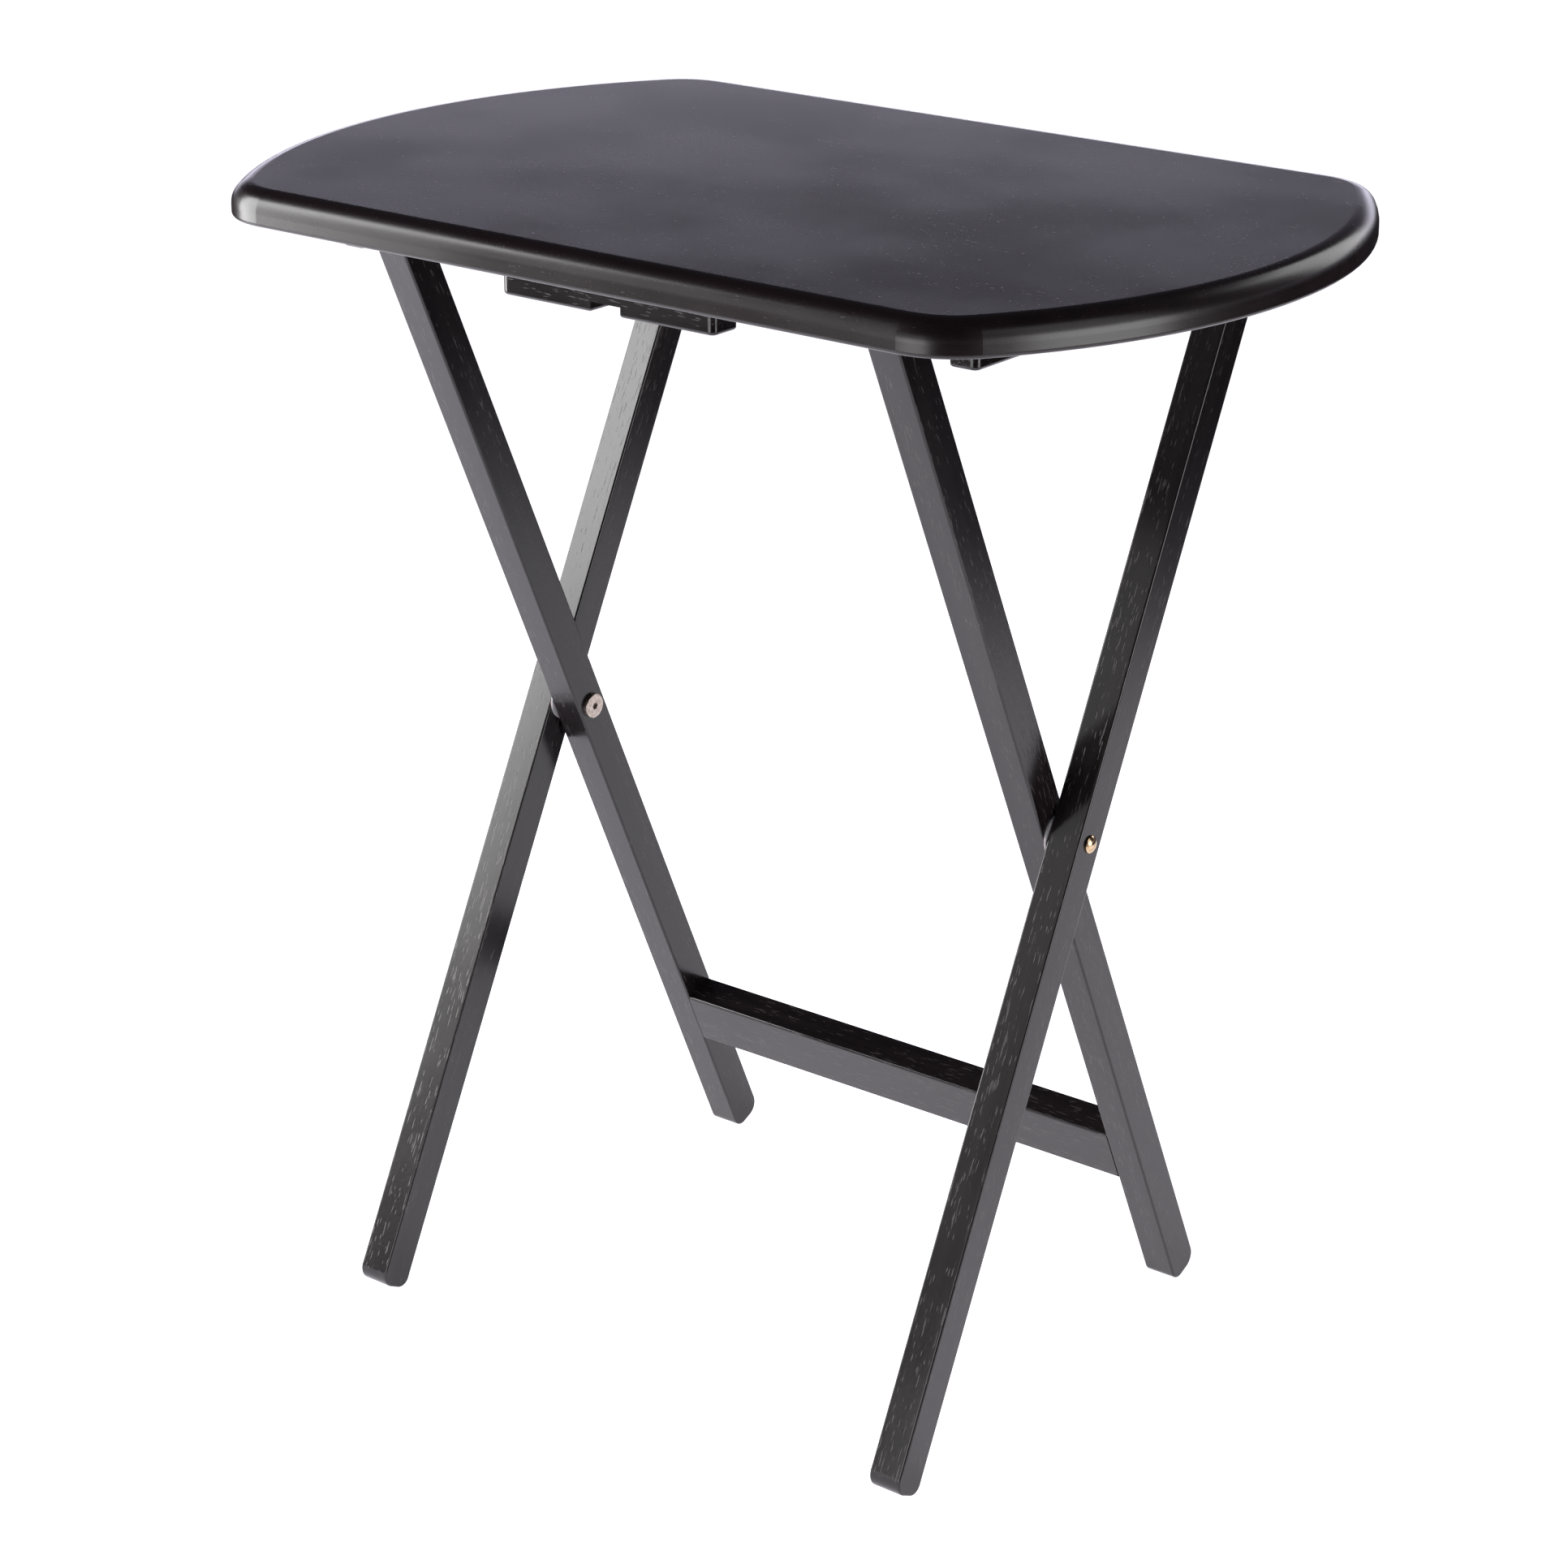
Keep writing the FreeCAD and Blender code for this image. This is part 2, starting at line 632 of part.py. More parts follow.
def make_cross_dowel():
    body = new_body("cross_dowel")
    place_in_frame(body, "0", "inner")
    sketch = new_sketch(body, "YZ", "outline")
    circle(sketch, "size.dowel_diameter", "0", "size.dowel_reach")
    pad(body, sketch, "2 * (size.inner_inside + size.dowel_bury)", both_ways=True)
    return body


# ---------------------------------------------------------------- connectors


def make_barrel(label, x, y, z, sign, length):
    """A nut with a domed head outside and a long sleeve pointing to the middle of the table."""
    body = new_body(label)
    place(body, x=x, y=y, z=z, axis=Z_WAY, angle="0" if sign > 0 else "180")
    profile = new_sketch(body, "XY", "profile")
    outline(profile, [
        ("-(%s)" % length, "size.barrel_diameter / 2"),
        ("-(%s)" % length, "size.thread_hole / 2"),
        ("size.bore_depth - %s" % length, "size.thread_hole / 2"),
        ("size.bore_depth - %s" % length, "0"),
        ("size.dome_height", "0"),
        ("size.dome_rim", "size.dome_diameter / 2", ("ccw", "y", "0")),
        ("0", "size.dome_diameter / 2"),
        ("0", "size.barrel_diameter / 2"),
    ])
    spin(body, profile, "H_Axis")
    return body


def make_connector_screw(label, x, y, z, sign, head, length):
    """A flat-headed machine screw with a hexagon socket, its head towards the middle."""
    body = new_body(label)
    place(body, x=x, y=y, z=z, axis=Z_WAY, angle="0" if sign > 0 else "180")
    profile = new_sketch(body, "XY", "profile")
    outline(profile, [
        ("-size.disc_thick", "0"),
        (length, "0"),
        (length, "size.thread_diameter / 2"),
        ("0", "size.thread_diameter / 2"),
        ("0", "%s / 2" % head),
        ("-size.disc_thick", "%s / 2" % head),
    ])
    spin(body, profile, "H_Axis")
    level = -value("size.disc_thick")
    rim = edge_names(body, lambda edge: lies_at(edge, "x", level) and len(edge.Vertexes) == 1)
    soften(body, rim, "size.disc_thick / 5")
    socket = new_sketch(body, "YZ", "hexagon", "-size.disc_thick")
    flat, point = "size.hex_flats / 2", "size.hex_flats / sqrt(3)"
    outline(socket, [
        (point, "0"), (point + " / 2", flat), ("-%s / 2" % point, flat),
        ("-" + point, "0"), ("-%s / 2" % point, "-" + flat), (point + " / 2", "-" + flat),
    ])
    pocket(body, socket, "size.hex_depth", reverse=True)
    return body


def make_washer(label, x, y, z, sign, diameter, thick):
    """A flat ring standing between two pieces, on the outward side of the first."""
    body = new_body(label)
    place(body, x=x, y=y, z=z, axis=Z_WAY, angle="0" if sign > 0 else "180")
    sketch = new_sketch(body, "YZ", "ring")
    circle(sketch, diameter)
    circle(sketch, "size.barrel_hole")
    pad(body, sketch, thick)
    return body


def make_pivot(side, sign):
    """The crossing of an inner and an outer leg: nut, screw and nylon washer."""
    z = "size.pivot_height"
    return [
        make_barrel("pivot_nut_" + side, "(size.outer_face + size.face_gap) * %d" % sign, "0", z,
                    sign, "size.pivot_barrel"),
        make_connector_screw("pivot_screw_" + side, "size.inner_inside * %d" % sign, "0", z,
                             sign, "size.disc_diameter", "size.pivot_shank"),
        make_washer("pivot_washer_" + side, "size.inner_face * %d" % sign, "0", z,
                    sign, "size.pivot_washer", "size.pivot_pad"),
    ]


def make_hinge(side, sign):
    """The top of an outer leg in its cleat: nut, screw and washer, all fast on the cleat."""
    y, z = "size.hinge_back", "size.hinge_height"
    screw_x = "(size.outer_inside + size.sink_depth - size.face_gap) * %d" % sign
    return [
        make_barrel("hinge_nut_" + side, "size.cleat_face * %d" % sign, y, z,
                    sign, "size.hinge_barrel"),
        make_connector_screw("hinge_screw_" + side, screw_x, y, z,
                             sign, "size.hinge_disc", "size.hinge_shank"),
        make_washer("hinge_washer_" + side, "(size.cleat_inside - size.hinge_pad) * %d" % sign, y, z,
                    sign, "size.hinge_washer", "size.hinge_pad"),
    ]


# ---------------------------------------------------------------- everything together


def make_all():
    pieces = [make_tabletop(), make_front_block(), make_stretcher(), make_cross_dowel()]
    for side, sign in SIDES:
        pieces.append(make_cleat(side, sign))
        pieces.append(make_inner_leg(side, sign))
        pieces.append(make_outer_leg(side, sign))
        pieces.append(make_stretcher_pins(side, sign))
        pieces += make_pivot(side, sign)
        pieces += make_hinge(side, sign)
        pieces.append(make_wood_screws(
            "cleat_screws_" + side, "size.cleat_middle * %d" % sign, "size.first_screw",
            "size.under_side - size.cleat_height", "size.cleat_screw", "Y",
            "size.screw_run", CLEAT_SCREWS))
    pieces.append(make_wood_screws(
        "block_screws", "-size.block_screw_pitch / 2", "size.block_middle",
        "size.under_side - size.block_height", "size.block_screw", "X",
        "size.block_screw_pitch", BLOCK_SCREWS))
    return pieces


def check(pieces):
    doc.recompute()
    for item in doc.Objects:
        if {"Invalid", "Error"} & set(item.State):
            raise RuntimeError("%s (%s) failed to build" % (item.Label, item.Name))
    for piece in pieces:
        if piece.Shape.isNull() or not piece.Shape.isValid():
            raise RuntimeError(piece.Label + " has no valid shape")


pieces = make_all()
check(pieces)
os.makedirs("parts", exist_ok=True)
for piece in pieces:
    piece.Shape.exportStep("parts/%s.step" % piece.Label)
    box = piece.Shape.BoundBox
    print("%-22s %d solid(s)  %7.1f x %6.1f x %6.1f  z %.1f to %.1f" % (
        piece.Label, len(piece.Shape.Solids), box.XLength, box.YLength, box.ZLength, box.ZMin, box.ZMax))
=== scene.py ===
# %% [markdown]
# # A folding tray table in dark stained wood
#
# The table has a bowed board on two scissoring pairs of legs. What is left for Blender is how
# the table looks: its finishes, the light, and the camera. The solids are never moved.

# %% Load the table and keep its outer box
import math

import bmesh
import bpy
from mathutils import Matrix, Vector


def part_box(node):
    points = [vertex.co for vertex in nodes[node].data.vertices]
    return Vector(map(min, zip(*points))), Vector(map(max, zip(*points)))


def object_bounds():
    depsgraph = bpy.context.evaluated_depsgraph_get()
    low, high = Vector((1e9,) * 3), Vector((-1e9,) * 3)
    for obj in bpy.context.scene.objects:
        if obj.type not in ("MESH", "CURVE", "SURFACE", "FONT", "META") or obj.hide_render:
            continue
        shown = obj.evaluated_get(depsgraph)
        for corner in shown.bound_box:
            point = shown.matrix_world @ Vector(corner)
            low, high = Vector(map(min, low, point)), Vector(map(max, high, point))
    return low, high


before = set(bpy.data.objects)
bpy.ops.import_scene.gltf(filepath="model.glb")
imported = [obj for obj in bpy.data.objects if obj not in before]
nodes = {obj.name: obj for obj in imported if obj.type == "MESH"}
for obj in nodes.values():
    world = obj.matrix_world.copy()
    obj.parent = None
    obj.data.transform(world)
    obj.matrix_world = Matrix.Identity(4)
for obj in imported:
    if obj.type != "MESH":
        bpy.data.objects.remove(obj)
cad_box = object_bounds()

table_low, table_high = cad_box
table_middle = (table_low + table_high) / 2
table_size = table_high - table_low
print("parts:", len(nodes), " size in mm:", [round(side * 1000) for side in table_size])

# %% [markdown]
# ## The camera
#
# Furniture shows best from a little above the top and from one front corner, through a long lens,
# so that the legs stay nearly parallel. The camera is set by a place, a compass turn, a downward
# tilt and a lens. A view camera can also slide its film instead of tilting; the
# small shift below does the same, and keeps the legs from leaning together.

# %% Place the camera
CAMERA_PLACE = Vector((1.2961, -1.6635, 1.1286))
CAMERA_TURN = math.radians(38.178)
CAMERA_TILT_DOWN = math.radians(18.130)
CAMERA_ROLL = math.radians(0.021)
LENS_MM = 91.53
FILM_MM = 36.0
FILM_SLIDE = -0.13445


def place_camera():
    data = bpy.data.cameras.new("camera")
    data.lens = LENS_MM
    data.sensor_width = FILM_MM
    data.shift_y = FILM_SLIDE
    data.dof.use_dof = False
    camera = bpy.data.objects.new("camera", data)
    bpy.context.scene.collection.objects.link(camera)
    turn = Matrix.Rotation(CAMERA_TURN, 4, "Z")
    tilt = Matrix.Rotation(math.pi / 2 - CAMERA_TILT_DOWN, 4, "X")
    roll = Matrix.Rotation(CAMERA_ROLL, 4, "Z")
    camera.matrix_world = Matrix.Translation(CAMERA_PLACE) @ (turn @ tilt) @ roll
    bpy.context.scene.camera = camera
    return camera


camera = place_camera()
print("camera is", round((camera.location - table_middle).length, 2), "m from the table's middle")

# %% [markdown]
# ## Small helpers for building node trees
#
# A material in Blender is a tree of nodes. Writing `nodes.new` and `links.new` for each one hides
# what the tree does, so a few helpers do it. `add` makes a node, fills its inputs by name and links
# any input that is given another node's output. `calc` does one sum, `rescale` stretches a range
# and `mix_colours` blends two colours, and each hands back its result.

# %% Helpers for nodes
# A Mix node has sockets for every kind of value. These are the places of its three colour sockets.
FIRST_COLOUR, SECOND_COLOUR, MIXED_COLOUR = 6, 7, 2


def set_input(tree, socket, value):
    """Links value to the socket if it is another node's output, or else stores it there."""
    if isinstance(value, bpy.types.NodeSocket):
        tree.links.new(value, socket)
    else:
        socket.default_value = value


def add(tree, kind, settings=None, **inputs):
    """Adds a node to the tree. An underscore in an input's name stands for a space."""
    made = tree.nodes.new(kind)
    made.location = (220 * (len(tree.nodes) % 9), -260 * (len(tree.nodes) // 9))
    for key, value in (settings or {}).items():
        setattr(made, key, value)
    for key, value in inputs.items():
        set_input(tree, made.inputs[key.replace("_", " ")], value)
    return made


def calc(tree, operation, first, second=0.0, third=None):
    """One sum of numbers, such as MULTIPLY, and its result."""
    made = add(tree, "ShaderNodeMath", {"operation": operation})
    set_input(tree, made.inputs[0], first)
    set_input(tree, made.inputs[1], second)
    if third is not None:
        set_input(tree, made.inputs[2], third)
    return made.outputs[0]


def rescale(tree, value, low, high, to_low=0.0, to_high=1.0):
    """Stretches value from low..high to to_low..to_high, and stops at both ends."""
    made = add(tree, "ShaderNodeMapRange", {"interpolation_type": "SMOOTHSTEP"})
    for socket, number in zip(made.inputs[:5], (value, low, high, to_low, to_high)):
        set_input(tree, socket, number)
    return made.outputs[0]


def mix_colours(tree, share, first, second):
    """The first colour where share is 0, and the second where it is 1."""
    made = add(tree, "ShaderNodeMix", {"data_type": "RGBA"})
    set_input(tree, made.inputs["Factor"], share)
    set_input(tree, made.inputs[FIRST_COLOUR], first)
    set_input(tree, made.inputs[SECOND_COLOUR], second)
    return made.outputs[MIXED_COLOUR]


def new_group(name, takes, gives):
    """A node group with named inputs and outputs. Returns it with its two end nodes."""
    group = bpy.data.node_groups.new(name, "ShaderNodeTree")
    for label, kind, start in takes:
        socket = group.interface.new_socket(label, in_out="INPUT", socket_type=kind)
        if start is not None:
            socket.default_value = start
    for label in gives:
        group.interface.new_socket(label, in_out="OUTPUT", socket_type="NodeSocketFloat")
    print("group", name, "gives", ", ".join(gives))
    way_in = group.nodes.new("NodeGroupInput")
    way_out = group.nodes.new("NodeGroupOutput")
    return group, way_in.outputs, way_out.inputs


def use_group(tree, group, **inputs):
    """Puts a group in a tree and returns its outputs."""
    return add(tree, "ShaderNodeGroup", {"node_tree": group}, **inputs).outputs


def new_material(name):
    """An empty node material with one Principled shader. Returns the material, tree and shader."""
    material = bpy.data.materials.new(name)
    material.use_nodes = True
    tree = material.node_tree
    shader = tree.nodes["Principled BSDF"]
    return material, tree, shader


print("helpers for node trees are ready")

# %% [markdown]
# ## Wood grain under a stain
#
# A stained hardwood shows three things at once. Slow bands of darker and paler wood run the whole
# length of a board. Fine fibres, about half a millimetre wide, lie along them. And where the saw
# has opened the wood's vessels there are pores: short dashes, up to a centimetre long, that the
# lacquer sinks into. All three are long in one direction and thin across it, so each is a noise
# whose coordinates are squeezed across the grain and stretched along it. As the noise is solid,
# a sawn end shows dots where a side shows dashes, just as real timber does.
#
# The group takes a place whose Z runs along the grain. It is built once, and every wood uses it.

# %% Build the grain group
BAND_WIDTH = 22.0  # in fibre widths
BAND_LENGTH = 30.0  # in pore lengths
FIBRE_LENGTH = 3.0  # in pore lengths
PORE_WIDTH = 1.8  # in fibre widths
CROWDING = 0.04  # how much more open the paler bands are
PORES_CUT_AT = 0.78  # the noise makes a pore where it is above this, less a part of the pore share
SHARE_LOWERS_CUT = 0.4
PORE_RIM = 0.09  # how softly a pore begins


def build_grain_group():
    group, takes, gives = new_group(
        "wood grain",
        [
            ("Place", "NodeSocketVector", None),
            ("Fibre Width", "NodeSocketFloat", 0.0003),
            ("Pore Length", "NodeSocketFloat", 0.009),
            ("Pore Share", "NodeSocketFloat", 0.3),
        ],
        ["Bands", "Fibres", "Pores"],
    )

    def stretched(width, length, detail):
        across = calc(group, "DIVIDE", 1.0, width)
        along = calc(group, "DIVIDE", 1.0, length)
        squeeze = add(group, "ShaderNodeCombineXYZ", X=across, Y=across, Z=along).outputs[0]
        place = add(group, "ShaderNodeVectorMath", {"operation": "MULTIPLY"})
        set_input(group, place.inputs[0], takes["Place"])
        set_input(group, place.inputs[1], squeeze)
        noise = add(group, "ShaderNodeTexNoise", Vector=place.outputs[0], Scale=1.0, Detail=detail)
        return noise.outputs[0]

    width, length = takes["Fibre Width"], takes["Pore Length"]
    band_width = calc(group, "MULTIPLY", width, BAND_WIDTH)
    bands = stretched(band_width, calc(group, "MULTIPLY", length, BAND_LENGTH), detail=3.0)
    fibres = stretched(width, calc(group, "MULTIPLY", length, FIBRE_LENGTH), detail=2.0)
    dashes = stretched(calc(group, "MULTIPLY", width, PORE_WIDTH), length, detail=1.0)
    crowded = rescale(group, bands, 0.35, 0.65, -CROWDING, CROWDING)
    lowered = calc(group, "MULTIPLY", takes["Pore Share"], SHARE_LOWERS_CUT)
    cut = calc(group, "SUBTRACT", PORES_CUT_AT, lowered)
    over = calc(group, "SUBTRACT", calc(group, "ADD", dashes, crowded), cut)
    set_input(group, gives["Bands"], rescale(group, bands, 0.3, 0.7))
    set_input(group, gives["Fibres"], rescale(group, fibres, 0.3, 0.7))
    set_input(group, gives["Pores"], rescale(group, over, 0.0, PORE_RIM))
    return group


grain_group = build_grain_group()

# %% [markdown]
# ## The skin of a sprayed lacquer
#
# Lacquer from a spray gun dries with a faint orange-peel: ripples a millimetre or two apart and
# only microns high. On a flat face they can't be seen, but on a rounded rim they break a highlight
# into soft mottles. The group gives a height for the ripples and a slower cloud, for the gloss to
# vary from one hand's breadth to the next.

# %% Build the lacquer skin group
CLOUDS_PER_METRE = 11.0


def build_lacquer_group():
    group, takes, gives = new_group(
        "lacquer skin",
        [("Place", "NodeSocketVector", None), ("Ripple Size", "NodeSocketFloat", 0.0022)],
        ["Ripples", "Clouds"],
    )
    place = takes["Place"]
    scale = calc(group, "DIVIDE", 1.0, takes["Ripple Size"])
    ripples = add(group, "ShaderNodeTexNoise", Vector=place, Scale=scale, Detail=1.0)
    clouds = add(group, "ShaderNodeTexNoise", Vector=place, Scale=CLOUDS_PER_METRE, Detail=3.0)
    set_input(group, gives["Ripples"], ripples.outputs[0])
    set_input(group, gives["Clouds"], rescale(group, clouds.outputs[0], 0.3, 0.7))
    return group


lacquer_group = build_lacquer_group()

# %% [markdown]
# ## Rubbed edges
#
# Hands, floors and the inside of a box rub the corners of a table first. The Bevel node gives the
# normal that a surface would have if its edges were rounder. Where that differs from the true
# normal, an edge is near, so one minus their dot product is a mask of the edges. A slow noise then
# breaks the mask up, because wear is never even.

# %% Build the edge group
EDGE_BEGINS = 0.01  # how far the two normals differ where wear begins
EDGE_FULL = 0.12  # and where it is full
PATCHES_PER_METRE = 90.0


def build_edge_group():
    group, takes, gives = new_group(
        "rubbed edges",
        [("Place", "NodeSocketVector", None), ("Reach", "NodeSocketFloat", 0.0012)],
        ["Worn"],
    )
    rounder = add(group, "ShaderNodeBevel", {"samples": 6}, Radius=takes["Reach"])
    true = add(group, "ShaderNodeNewGeometry")
    agree = add(group, "ShaderNodeVectorMath", {"operation": "DOT_PRODUCT"})
    set_input(group, agree.inputs[0], rounder.outputs[0])
    set_input(group, agree.inputs[1], true.outputs["Normal"])
    differ = calc(group, "SUBTRACT", 1.0, agree.outputs["Value"])
    edge = rescale(group, differ, EDGE_BEGINS, EDGE_FULL)
    patches = add(group, "ShaderNodeTexNoise", Vector=takes["Place"],
                  Scale=PATCHES_PER_METRE, Detail=4.0)
    uneven = rescale(group, patches.outputs[0], 0.4, 0.68)
    set_input(group, gives["Worn"], calc(group, "MULTIPLY", edge, uneven))
    return group


edge_group = build_edge_group()

# %% [markdown]
# ## Espresso wood
#
# All the wood on the table has the same finish: a nearly black brown stain, then a satin lacquer.
# What differs is the timber under it, and which way its grain runs. `grain_turn` finds the turn
# that lays a part's long way along Z, for the grain group. `espresso` mixes the stain's two tones
# by bands and fibres, lets dry pores show paler, warms the rubbed edges, and presses the pores into
# the surface by two hundredths of a millimetre at most. `rim_dull` makes a shaped rim less glossy
# than a flat face, because a rim is rubbed down by hand between coats.

# %% Make a stained wood
ALONG_X, ALONG_Y = Vector((1, 0, 0)), Vector((0, 1, 0))
FOOT_SHARE, HEAD_SHARE = 0.04, 0.03  # how much of a leg's height counts as its foot and its head
BAND_TINT, FIBRE_TINT = 0.6, 0.4  # how much each adds to the paler tone
PORE_TINT, WORN_TINT = 0.8, 0.35  # how strongly a pore and a rubbed edge show
PORES_DULL, CLOUDS_DULL = 0.14, 0.05  # what each adds to the roughness
FIBRE_RELIEF = 0.12  # the height of the fibres, in pore depths
RIM_BELOW, FLAT_ABOVE = 0.7, 0.98  # how upright the normal is on the rim and on a flat face
LACQUER_IOR = 1.5


def leg_direction(node):
    """Which way a leg runs, from the middle of its foot to the middle of its upper end."""
    low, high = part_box(node)
    tall = high.z - low.z
    spots = [vertex.co for vertex in nodes[node].data.vertices]
    foot = [spot for spot in spots if spot.z < low.z + tall * FOOT_SHARE]
    head = [spot for spot in spots if spot.z > high.z - tall * HEAD_SHARE]
    along = sum(head, Vector()) / len(head) - sum(foot, Vector()) / len(foot)
    along.x = 0.0
    print(node, "leans", round(math.degrees(math.atan2(along.y, along.z)), 1), "degrees")
    return along.normalized()


def grain_turn(direction):
    """The turn that brings direction onto Z."""
    return direction.rotation_difference(Vector((0, 0, 1))).to_euler()


def espresso(name, direction, deep, pale, pore, pore_share, fibre_width, pore_length,
             pore_depth, satin, ripple_size, ripple_height, worn_tone, rim_dull=0.0):
    material, tree, shader = new_material(name)
    places = add(tree, "ShaderNodeTexCoord").outputs
    own = places["Object"]
    turned = add(tree, "ShaderNodeMapping", Vector=own, Rotation=grain_turn(direction)).outputs[0]
    grain = use_group(tree, grain_group, Place=turned, Fibre_Width=fibre_width,
                      Pore_Length=pore_length, Pore_Share=pore_share)
    skin = use_group(tree, lacquer_group, Place=own, Ripple_Size=ripple_size)
    edges = use_group(tree, edge_group, Place=own)
    figure = calc(tree, "ADD", calc(tree, "MULTIPLY", grain["Bands"], BAND_TINT),
                  calc(tree, "MULTIPLY", grain["Fibres"], FIBRE_TINT))
    stained = mix_colours(tree, figure, deep, pale)
    pore_tint = calc(tree, "MULTIPLY", grain["Pores"], PORE_TINT)
    with_pores = mix_colours(tree, pore_tint, stained, pore)
    worn = calc(tree, "MULTIPLY", edges["Worn"], WORN_TINT)
    set_input(tree, shader.inputs["Base Color"], mix_colours(tree, worn, with_pores, worn_tone))
    dull = calc(tree, "ADD", calc(tree, "MULTIPLY", grain["Pores"], PORES_DULL),
                calc(tree, "MULTIPLY", skin["Clouds"], CLOUDS_DULL))
    upright = add(tree, "ShaderNodeSeparateXYZ", Vector=places["Normal"]).outputs["Z"]
    shaped = rescale(tree, calc(tree, "ABSOLUTE", upright), RIM_BELOW, FLAT_ABOVE, 1.0, 0.0)
    rim = calc(tree, "MULTIPLY", shaped, rim_dull)
    rough = calc(tree, "ADD", calc(tree, "ADD", dull, satin), rim)
    set_input(tree, shader.inputs["Roughness"], rough)
    pressed = calc(tree, "ADD", calc(tree, "MULTIPLY", grain["Pores"], -pore_depth),
                   calc(tree, "MULTIPLY", grain["Fibres"], pore_depth * FIBRE_RELIEF))
    height = calc(tree, "ADD", pressed, calc(tree, "MULTIPLY", skin["Ripples"], ripple_height))
    bump = add(tree, "ShaderNodeBump", Height=height, Strength=1.0, Distance=1.0)
    set_input(tree, shader.inputs["Normal"], bump.outputs[0])
    shader.inputs["IOR"].default_value = LACQUER_IOR
    print("finish", name, "with pores", round(pore_length * 1000, 1), "mm long")
    return material


def finish(material, *names):
    """Gives a material to CAD parts through their material slots."""
    for name in names:
        nodes[name].material_slots[0].material = material
    print(material.name, "is on", ", ".join(names))


# %% [markdown]
# ## The board
#
# The top is a board with a close-grained face, filled and lacquered until it is almost smooth, so
# its pores are shallow and its fibres fine. The grain runs the long way.

# %% Finish the board
board_finish = espresso(
    "board espresso", ALONG_X,
    deep=(0.0046, 0.0021, 0.0025, 1), pale=(0.0100, 0.0051, 0.0058, 1),
    pore=(0.020, 0.013, 0.014, 1), worn_tone=(0.05, 0.028, 0.02, 1),
    pore_share=0.16, fibre_width=0.0005, pore_length=0.003, pore_depth=0.000002,
    satin=0.18, ripple_size=0.0009, ripple_height=0.000005, rim_dull=0.06,
)
finish(board_finish, "tabletop")

# %% [markdown]
# ## The legs and the stretcher
#
# The legs are solid strips. Two materials serve the four legs, one for each lean, because the
# grain has to follow the stick. A third serves the stretcher and the dowel, which both run across.
# The pores were left unfilled here, so they're deeper and paler than the board's.

# %% Finish the legs and the stretcher
LEG_TONES = dict(
    deep=(0.0024, 0.0015, 0.0018, 1), pale=(0.0125, 0.0092, 0.0100, 1),
    pore=(0.042, 0.034, 0.035, 1), worn_tone=(0.06, 0.034, 0.024, 1),
    pore_share=0.38, fibre_width=0.00055, pore_length=0.009, pore_depth=0.00002,
    satin=0.16, ripple_size=0.0022, ripple_height=0.000006,
)
inner_finish = espresso("inner leg espresso", leg_direction("inner_leg_left"), **LEG_TONES)
outer_finish = espresso("outer leg espresso", leg_direction("outer_leg_left"), **LEG_TONES)
rail_finish = espresso("stretcher espresso", ALONG_X, **LEG_TONES)
finish(inner_finish, "inner_leg_left", "inner_leg_right")
finish(outer_finish, "outer_leg_left", "outer_leg_right")
finish(rail_finish, "lower_stretcher", "cross_dowel")

# %% [markdown]
# ## The wood under the top
#
# The cleats and the front block are of the legs' timber, but out of sight, so a more open grain was
# good enough there. Their pores are painted a darker tone than the legs' pores, as painted shade
# for the shade under the top. The cleats' grain runs front to back and the block's runs across.

# %% Finish the cleats and the block
# The darker pore tone here is painted shade for the shade under the top; the more open grain is the
# timber's own.
UNDER_TONES = dict(LEG_TONES, pore_share=0.40, pore=(0.028, 0.020, 0.021, 1))
cleat_finish = espresso("cleat espresso", ALONG_Y, **UNDER_TONES)
block_finish = espresso("block espresso", ALONG_X, **UNDER_TONES)
finish(cleat_finish, "cleat_left", "cleat_right")
finish(block_finish, "front_block")

# %% [markdown]
# ## Bare wood
#
# The pins in the stretcher's joints were turned from pale beech and never stained, because glue
# doesn't hold on lacquer. They only show if the joint is pulled apart.

# %% Finish the pins
BEECH = ((0.52, 0.33, 0.19, 1), (0.66, 0.46, 0.28, 1))
BEECH_PORE = (0.33, 0.18, 0.09, 1)
BEECH_PORE_TINT = 0.6
BEECH_ROUGH = (0.55, 0.7)
BEECH_RELIEF = 0.00002


def bare_beech(name):
    material, tree, shader = new_material(name)
    own = add(tree, "ShaderNodeTexCoord").outputs["Object"]
    turned = add(tree, "ShaderNodeMapping", Vector=own, Rotation=grain_turn(ALONG_X)).outputs[0]
    grain = use_group(tree, grain_group, Place=turned, Pore_Length=0.003)
    plain = mix_colours(tree, grain["Bands"], *BEECH)
    pores = calc(tree, "MULTIPLY", grain["Pores"], BEECH_PORE_TINT)
    set_input(tree, shader.inputs["Base Color"], mix_colours(tree, pores, plain, BEECH_PORE))
    rough = rescale(tree, grain["Fibres"], 0.0, 1.0, *BEECH_ROUGH)
    set_input(tree, shader.inputs["Roughness"], rough)
    bump = add(tree, "ShaderNodeBump", Strength=1.0, Distance=1.0,
               Height=calc(tree, "MULTIPLY", grain["Fibres"], BEECH_RELIEF))
    set_input(tree, shader.inputs["Normal"], bump.outputs[0])
    return material


finish(bare_beech("bare beech"), "stretcher_pins_left", "stretcher_pins_right")

# %% [markdown]
# ## Turned metal
#
# The connectors are turned on a lathe, so the tool leaves rings round their axis. The group
# measures the distance from that axis and feeds it to a fine noise that only changes outwards.

# %% Build the turning marks group
SMUDGES_PER_METRE = 420.0


